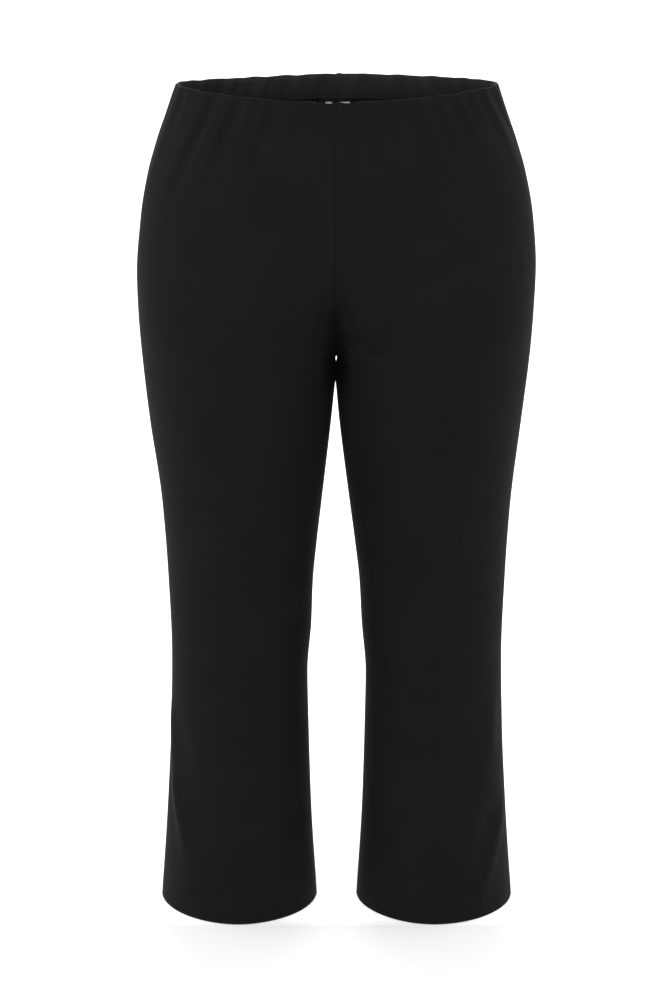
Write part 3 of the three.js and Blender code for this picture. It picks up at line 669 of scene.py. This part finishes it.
def panel_piece(name, jersey, painted_light_inside):
    """One panel: rolled over the elastic at the waist, and turned up once at the hem."""
    panel = PANELS[name]
    rows = round_edge(ROLL_RADIUS, 0, -1)
    under_roll = ROLL_RADIUS + 0.8
    rows.append((under_roll, 0, under_roll, 2 * ROLL_RADIUS))
    rows.append((under_roll + 0.4, 0, under_roll + 0.1, JERSEY_WALL))
    hem_top = SIDE_LENGTH - HEM_DEPTH
    drops = spread(
        (4.5, 132, 2.5), (132, 282, 5), (282, 352, 2), (352, hem_top - 4, 6), (hem_top - 4, hem_top, 2),
    )
    rows += [(drop, 0, drop, JERSEY_WALL) for drop in drops]
    rows.append((hem_top + 0.6, 0, hem_top + 0.3, 2 * HEM_RADIUS - 0.3))
    drops = spread((hem_top + 1.5, SIDE_LENGTH - 3, 3))
    rows += [(drop, 0, drop, 2 * HEM_RADIUS) for drop in drops]
    rows += round_edge(HEM_RADIUS, SIDE_LENGTH, 1)[::-1]
    stitching = Stitching()
    # The inner face takes the inside jersey, painted about three times lighter than the outside: painted
    # light.
    outer, inner, flip = wall(stitching, panel, panel_shares(), rows, inner_finish=1)
    stitching.strip(outer[:, 0], inner[:, 0], flip)
    stitching.strip(inner[:, -1], outer[:, -1], flip)
    return stitching.piece(name + "_cloth", jersey, painted_light_inside)


def casing_ripple(panel, shares, drop):
    """How far the casing's inner face stands off where the elastic gathers it, more towards its hem."""
    random = np.random.default_rng(panel["seed"] + 30)
    lift = 0
    for number in range(CASING_RIPPLES):
        at = (number + random.uniform(0.1, 0.9)) / CASING_RIPPLES
        high = CASING_RIPPLE_HIGH * random.uniform(0.3, 1)
        lean = random.uniform(-0.02, 0.02)
        off = (shares - at - lean * drop / CASING_DEPTH) * CASING_RIPPLES / CASING_RIPPLE_WIDE
        lift = lift + high * np.exp(-off * off)
    fuller = CASING_RIPPLE_AT_TOP + (1 - CASING_RIPPLE_AT_TOP) * drop / CASING_DEPTH
    lift = lift * fuller * smooth(np.minimum(shares, 1 - shares) / 0.02)
    lift = lift + CASING_SWELL * math.sin(math.pi * min(drop / CASING_DEPTH, 1)) ** 0.8
    off = shares * panel["side"] + CASING_SEAM_OFF + CASING_SEAM_LEAN * drop / CASING_DEPTH
    groove = CASING_SEAM_GROOVE * np.exp(-((off / CASING_SEAM_WIDE) ** 2))
    rises = smooth(off / CASING_SEAM_RISES)
    falls = smooth((CASING_SEAM_ENDS - off) / CASING_SEAM_RISES)
    return lift - groove + CASING_SEAM_RIDGE * rises * falls


def casing_rows(panel, shares):
    """The casing's rows in one panel: off the roll's inner side, down the panel, and round its edge."""
    outside = JERSEY_WALL + 0.3
    inside = 2 * ROLL_RADIUS + CASING_OVER_ROLL
    over = ROLL_RADIUS + CASING_OVER_ROLL
    top = ROLL_RADIUS + 1
    last = CASING_DEPTH - 1.5
    rows = []
    for turn in np.radians(CASING_TOP_TURNS):
        rows.append((
            ROLL_RADIUS * (1 - math.sin(turn)), ROLL_RADIUS * (1 + math.cos(turn)) + 0.05,
            ROLL_RADIUS - over * math.sin(turn), ROLL_RADIUS + over * math.cos(turn),
        ))
    for drop in spread((top, last, 2.2)):
        rows.append((drop, outside, drop, inside + casing_ripple(panel, shares, drop)))
    middle, radius = (outside + inside) / 2, (inside - outside) / 2
    for turn in np.radians(CASING_EDGE_TURNS):
        drop = last + radius * math.sin(turn)
        swell = middle + radius * math.cos(turn) + casing_ripple(panel, shares, drop)
        rows.append((drop, middle - radius * math.cos(turn), drop, swell))
    return rows


def casing_piece(cloth):
    """The cloth turned in over the elastic, one ring inside the panels from the top of their roll."""
    stitching = Stitching()
    shares = np.concatenate([np.arange(0, 0.04, 0.002), np.linspace(0.04, 1, 136)])
    walls = {
        name: wall(stitching, panel, shares, casing_rows(panel, shares))
        for name, panel in PANELS.items()
    }

    def loop(name, pick):
        outer, inner, _ = walls[name]
        corners = np.concatenate([outer[:, pick], inner[::-1, pick]])
        return np.append(corners, corners[0])

    for upper, lower, pick in (
        ("front_left", "front_right", 0),
        ("back_left", "front_left", -1),
        ("back_right", "back_left", 0),
        ("front_right", "back_right", -1),
    ):
        stitching.strip(loop(upper, pick), loop(lower, pick), False)
    # The whole casing takes the inside jersey, painted lighter: painted light for the light that falls
    # inside the waist.
    return stitching.piece("waist_casing_cloth", cloth)


def label_piece(tape, bars):
    """The woven label, sewn on the casing's lower edge at the centre back and hanging below it."""
    stitching = Stitching()
    places = np.linspace(-0.5, 0.5, LABEL_STEPS + 1) * LABEL_WIDTH
    length = places_on(PANELS["back_left"], LABEL_DROPS[0], np.zeros(1))[4]

    def row(drop, inset):
        halves = []
        down = (drop - LABEL_DROPS[0]) / (LABEL_DROPS[1] - LABEL_DROPS[0])
        for name, across in (("back_right", -places[places < 0]), ("back_left", places[places >= 0])):
            panel = dict(PANELS[name], gathers=NO_GATHERS)
            curl = LABEL_CURL * down ** 2 * np.sin(across / LABEL_WIDTH * LABEL_CURLS + panel["side"]) ** 2
            points, maps = cloth_row(panel, across / length, drop, inset + curl, dent=False)
            halves.append((points, maps * (panel["side"], 1)))
        return stitching.row(*map(np.concatenate, zip(*halves)))

    drops = np.unique(np.round(np.append(spread((*LABEL_DROPS, 2)), LABEL_BAR_DROPS), 2))
    outer = [row(drop, LABEL_INSET) for drop in drops]
    inner = [row(drop, LABEL_INSET + LABEL_WALL) for drop in drops]
    middles = (places[:-1] + places[1:]) / 2
    in_bar = sum((middles > start) & (middles < end) for start, end in LABEL_BARS)
    for i in range(len(drops) - 1):
        stitching.strip(outer[i], outer[i + 1], True)
        woven = LABEL_BAR_DROPS[0] - 0.01 < drops[i] < LABEL_BAR_DROPS[1] - 0.01
        stitching.strip(inner[i], inner[i + 1], False, in_bar * woven)
    stitching.strip(inner[0], outer[0], True)
    stitching.strip(outer[-1], inner[-1], True)
    outer, inner = np.array(outer), np.array(inner)
    stitching.strip(outer[:, 0], inner[:, 0], True)
    stitching.strip(inner[:, -1], outer[:, -1], True)
    return stitching.piece("label_tape", tape, bars)


def stitch_lines(name, drops, thread):
    """Lines of stitches round one panel: each stitch is a small ridge that dips in at both ends."""
    panel = PANELS[name]
    stitching = Stitching()
    for drop in drops:
        length = places_on(panel, drop, np.zeros(1))[4]
        starts = np.arange(STITCHES_END, length - STITCHES_END - STITCH_LONG, STITCH_PITCH)
        stations = starts[:, None] + STITCH_LONG * np.array(STITCH_STATIONS)
        shares = stations.ravel() / length
        high = np.tile([-STITCH_SUNK, STITCH_HIGH, STITCH_HIGH, -STITCH_SUNK], len(starts))
        upper, ridge, lower = (
            stitching.row(*cloth_row(panel, shares, drop + side * STITCH_WIDE / 2, inset)).reshape(-1, 4)
            for side, inset in ((-1, STITCH_SUNK), (0, -high), (1, STITCH_SUNK))
        )
        flip = (panel["facing"] == "back") != (panel["side"] < 0)
        for number in range(len(starts)):
            stitching.strip(upper[number], ridge[number], flip)
            stitching.strip(ridge[number], lower[number], flip)
    return stitching.piece(name + "_hem_stitches", thread)


# ---------------------------------------------------------------- materials

def material(name, build):
    """A node material: `build` gets its nodes, its links and its Principled shader."""
    result = bpy.data.materials.new(name)
    result.use_nodes = True
    nodes, links = result.node_tree.nodes, result.node_tree.links
    build(nodes, links, nodes["Principled BSDF"])
    return result


def node(nodes, kind, **values):
    """A node with some inputs set by name."""
    made = nodes.new(kind)
    for name, value in values.items():
        made.inputs[name.replace("_", " ")].default_value = value
    return made


def jersey_nodes(dark, light):
    """Smooth fine-gauge jersey: hardly a pattern, a soft sheen, wales running down the panel."""
    def build(nodes, links, shader):
        cut = nodes.new("ShaderNodeUVMap")
        cut.uv_map = "cut"
        tone = node(nodes, "ShaderNodeTexNoise", Scale=14.0, Detail=4.0, Roughness=0.6)
        links.new(cut.outputs["UV"], tone.inputs["Vector"])
        colours = nodes.new("ShaderNodeValToRGB")
        colours.color_ramp.elements[0].position = 0.3
        colours.color_ramp.elements[1].position = 0.7
        colours.color_ramp.elements[0].color = (*dark, 1)
        colours.color_ramp.elements[1].color = (*light, 1)
        links.new(tone.outputs["Fac"], colours.inputs["Fac"])
        links.new(colours.outputs["Color"], shader.inputs["Base Color"])
        wales = nodes.new("ShaderNodeTexWave")
        wales.bands_direction = "X"
        wales.inputs["Scale"].default_value = WALES_PER_METRE * ONE_BAND_PER_METRE
        wales.inputs["Distortion"].default_value = 0.6
        links.new(cut.outputs["UV"], wales.inputs["Vector"])
        bump = node(nodes, "ShaderNodeBump", Strength=0.12, Distance=0.0003)
        links.new(wales.outputs["Fac"], bump.inputs["Height"])
        links.new(bump.outputs["Normal"], shader.inputs["Normal"])
        shader.inputs["Roughness"].default_value = 0.85
        shader.inputs["Specular IOR Level"].default_value = 0.08
        shader.inputs["Sheen Weight"].default_value = 0.03
        shader.inputs["Sheen Roughness"].default_value = 0.4
        shader.inputs["Sheen Tint"].default_value = (0.9, 0.92, 1, 1)
    return build


def tape_nodes(dark, light, roughness):
    """A fine plain-woven tape: warp and weft as two crossed ripples that mottle and raise it."""
    def build(nodes, links, shader):
        cut = nodes.new("ShaderNodeUVMap")
        cut.uv_map = "cut"
        weave = nodes.new("ShaderNodeMath")
        weave.operation = "MULTIPLY"
        for number, direction in enumerate("XY"):
            threads = node(nodes, "ShaderNodeTexWave", Scale=TAPE_THREADS_PER_METRE * ONE_BAND_PER_METRE)
            threads.bands_direction = direction
            links.new(cut.outputs["UV"], threads.inputs["Vector"])
            links.new(threads.outputs["Fac"], weave.inputs[number])
        colours = nodes.new("ShaderNodeValToRGB")
        colours.color_ramp.elements[0].color = (*dark, 1)
        colours.color_ramp.elements[1].color = (*light, 1)
        links.new(weave.outputs["Value"], colours.inputs["Fac"])
        links.new(colours.outputs["Color"], shader.inputs["Base Color"])
        bump = node(nodes, "ShaderNodeBump", Strength=0.3, Distance=0.0003)
        links.new(weave.outputs["Value"], bump.inputs["Height"])
        links.new(bump.outputs["Normal"], shader.inputs["Normal"])
        shader.inputs["Roughness"].default_value = roughness
        shader.inputs["Specular IOR Level"].default_value = 0.2
    return build


def thread_nodes(colour):
    """Sewing thread: two plies twisted round each other."""
    def build(nodes, links, shader):
        place = nodes.new("ShaderNodeTexCoord")
        plies = node(nodes, "ShaderNodeTexWave", Scale=90.0)
        plies.bands_direction = "DIAGONAL"
        links.new(place.outputs["Object"], plies.inputs["Vector"])
        bump = node(nodes, "ShaderNodeBump", Strength=0.4, Distance=0.0002)
        links.new(plies.outputs["Fac"], bump.inputs["Height"])
        links.new(bump.outputs["Normal"], shader.inputs["Normal"])
        shader.inputs["Base Color"].default_value = (*colour, 1)
        shader.inputs["Roughness"].default_value = 0.6
        shader.inputs["Specular IOR Level"].default_value = 0.15
    return build


# ---------------------------------------------------------------- stage

def place_camera():
    """A long lens a little above the waist, looking down at the front."""
    data = bpy.data.cameras.new("camera")
    data.lens = CAMERA_LENS
    data.sensor_width = 36
    camera = bpy.data.objects.new("camera", data)
    camera.location = (CAMERA_SIDEWAYS, -CAMERA_DISTANCE, CAMERA_HEIGHT)
    camera.rotation_euler = (math.radians(90 - CAMERA_PITCH), 0, 0)
    bpy.context.collection.objects.link(camera)
    bpy.context.scene.camera = camera


def lay_floor():
    """The pale floor under the hems, which glows a little more from afar and from the hems' fronts back:
    painted light that fills in the floor's shade behind and between the legs.
    """
    def build(nodes, links, shader):
        shader.inputs["Base Color"].default_value = (*[FLOOR_WHITE] * 3, 1)
        shader.inputs["Roughness"].default_value = 1
        shader.inputs["Specular IOR Level"].default_value = 0
        shader.inputs["Emission Color"].default_value = (1, 1, 1, 1)
        place = nodes.new("ShaderNodeTexCoord")
        distance = nodes.new("ShaderNodeVectorMath")
        distance.operation = "LENGTH"
        links.new(place.outputs["Object"], distance.inputs[0])
        axes = nodes.new("ShaderNodeSeparateXYZ")
        links.new(place.outputs["Object"], axes.inputs["Vector"])
        total = nodes.new("ShaderNodeMath")
        for number, (value, reach, glow) in enumerate((
            (distance.outputs["Value"], FLOOR_GLOW_REACH, FLOOR_GLOW),
            (axes.outputs["Y"], FLOOR_BACK_REACH, (0, FLOOR_BACK_GLOW)),
        )):
            ramp = node(nodes, "ShaderNodeMapRange", From_Min=reach[0], From_Max=reach[1],
                        To_Min=glow[0], To_Max=glow[1])
            links.new(value, ramp.inputs["Value"])
            links.new(ramp.outputs["Result"], total.inputs[number])
        links.new(total.outputs["Value"], shader.inputs["Emission Strength"])
    mesh = bpy.data.meshes.new("floor")
    half = FLOOR_SIZE / 2
    level = CAD_BOX[0][2] - FLOOR_UNDER
    corners = [(-half, -half, 0), (half, -half, 0), (half, half, 0), (-half, half, 0)]
    mesh.from_pydata(corners, [], [(0, 1, 2, 3)])
    mesh.materials.append(material("floor", build))
    floor = bpy.data.objects.new("floor", mesh)
    floor.location.z = level
    bpy.context.collection.objects.link(floor)


def softbox(name, place, target, size, power):
    """A gridded area light at a place, turned to a target."""
    data = bpy.data.lights.new(name, "AREA")
    data.shape = "RECTANGLE"
    data.size, data.size_y = size
    data.energy = power
    data.spread = math.radians(SOFTBOX_SPREAD)
    light = bpy.data.objects.new(name, data)
    light.location = place
    direction = np.array(target) - np.array(place)
    flat = math.hypot(direction[0], direction[1])
    light.rotation_euler = (math.atan2(flat, -direction[2]), 0, math.atan2(-direction[0], direction[1]))
    light.visible_camera = False
    bpy.context.collection.objects.link(light)


def light_stage():
    """An even white surrounding, with tall boxes from the sides and in front, and one overhead."""
    world = bpy.data.worlds.new("studio")
    world.use_nodes = True
    background = world.node_tree.nodes["Background"]
    background.inputs["Color"].default_value = (1, 1, 1, 1)
    background.inputs["Strength"].default_value = WORLD_LIGHT
    bpy.context.scene.world = world
    middle = (0, 0, -0.45)
    tall = (0.9, 1.6)
    softbox("left_box", (-2.8, -0.3, 0), middle, tall, 3.5)
    softbox("right_box", (2.8, -0.3, 0), middle, tall, 2)
    softbox("front_left_box", (-2.2, -2.2, 0.3), middle, tall, 5.5)
    softbox("front_right_box", (2.2, -2.2, 0.3), middle, tall, 4.5)
    softbox("top_box", (0, -1.2, 2.6), (0, 0, -0.3), (1.6, 1), 4)
    softbox("back_box", (0, 3, 0.7), middle, (1.8, 1.6), 8)
    view = bpy.context.scene.view_settings
    view.view_transform = "Standard"
    view.gamma = PICTURE_GAMMA


place_camera()
JERSEY = material("black_jersey", jersey_nodes((0.0078, 0.0078, 0.0087), (0.0096, 0.0096, 0.0107)))
# The inside jersey, on the panels' inner faces and the whole casing, is painted about three times lighter
# than the outside: painted light, for light that the lamps hardly bring inside the waist.
PAINTED_LIGHT_INSIDE = material("black_jersey_inside_painted_light", jersey_nodes((0.0245, 0.0245, 0.0268), (0.03, 0.03, 0.0329)))
THREAD = material("black_thread", thread_nodes((0.011, 0.011, 0.012)))
TAPE = material("label_tape", tape_nodes((0.008, 0.008, 0.0092), (0.0135, 0.0135, 0.0155), 0.7))
TAPE_BARS = material("label_bars", tape_nodes((0.45, 0.45, 0.46), (0.75, 0.75, 0.76), 0.7))
for name in PANELS:
    piece = panel_piece(name, JERSEY, PAINTED_LIGHT_INSIDE)
    stitches = stitch_lines(name, HEM_STITCH_DROPS, THREAD)
    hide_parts(name)
    for sewn in (piece, stitches):
        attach(sewn, "root")
casing = casing_piece(PAINTED_LIGHT_INSIDE)
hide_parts("waist_casing")
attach(casing, "root")
label = label_piece(TAPE, TAPE_BARS)
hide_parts("label")
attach(label, "root")
lay_floor()
light_stage()
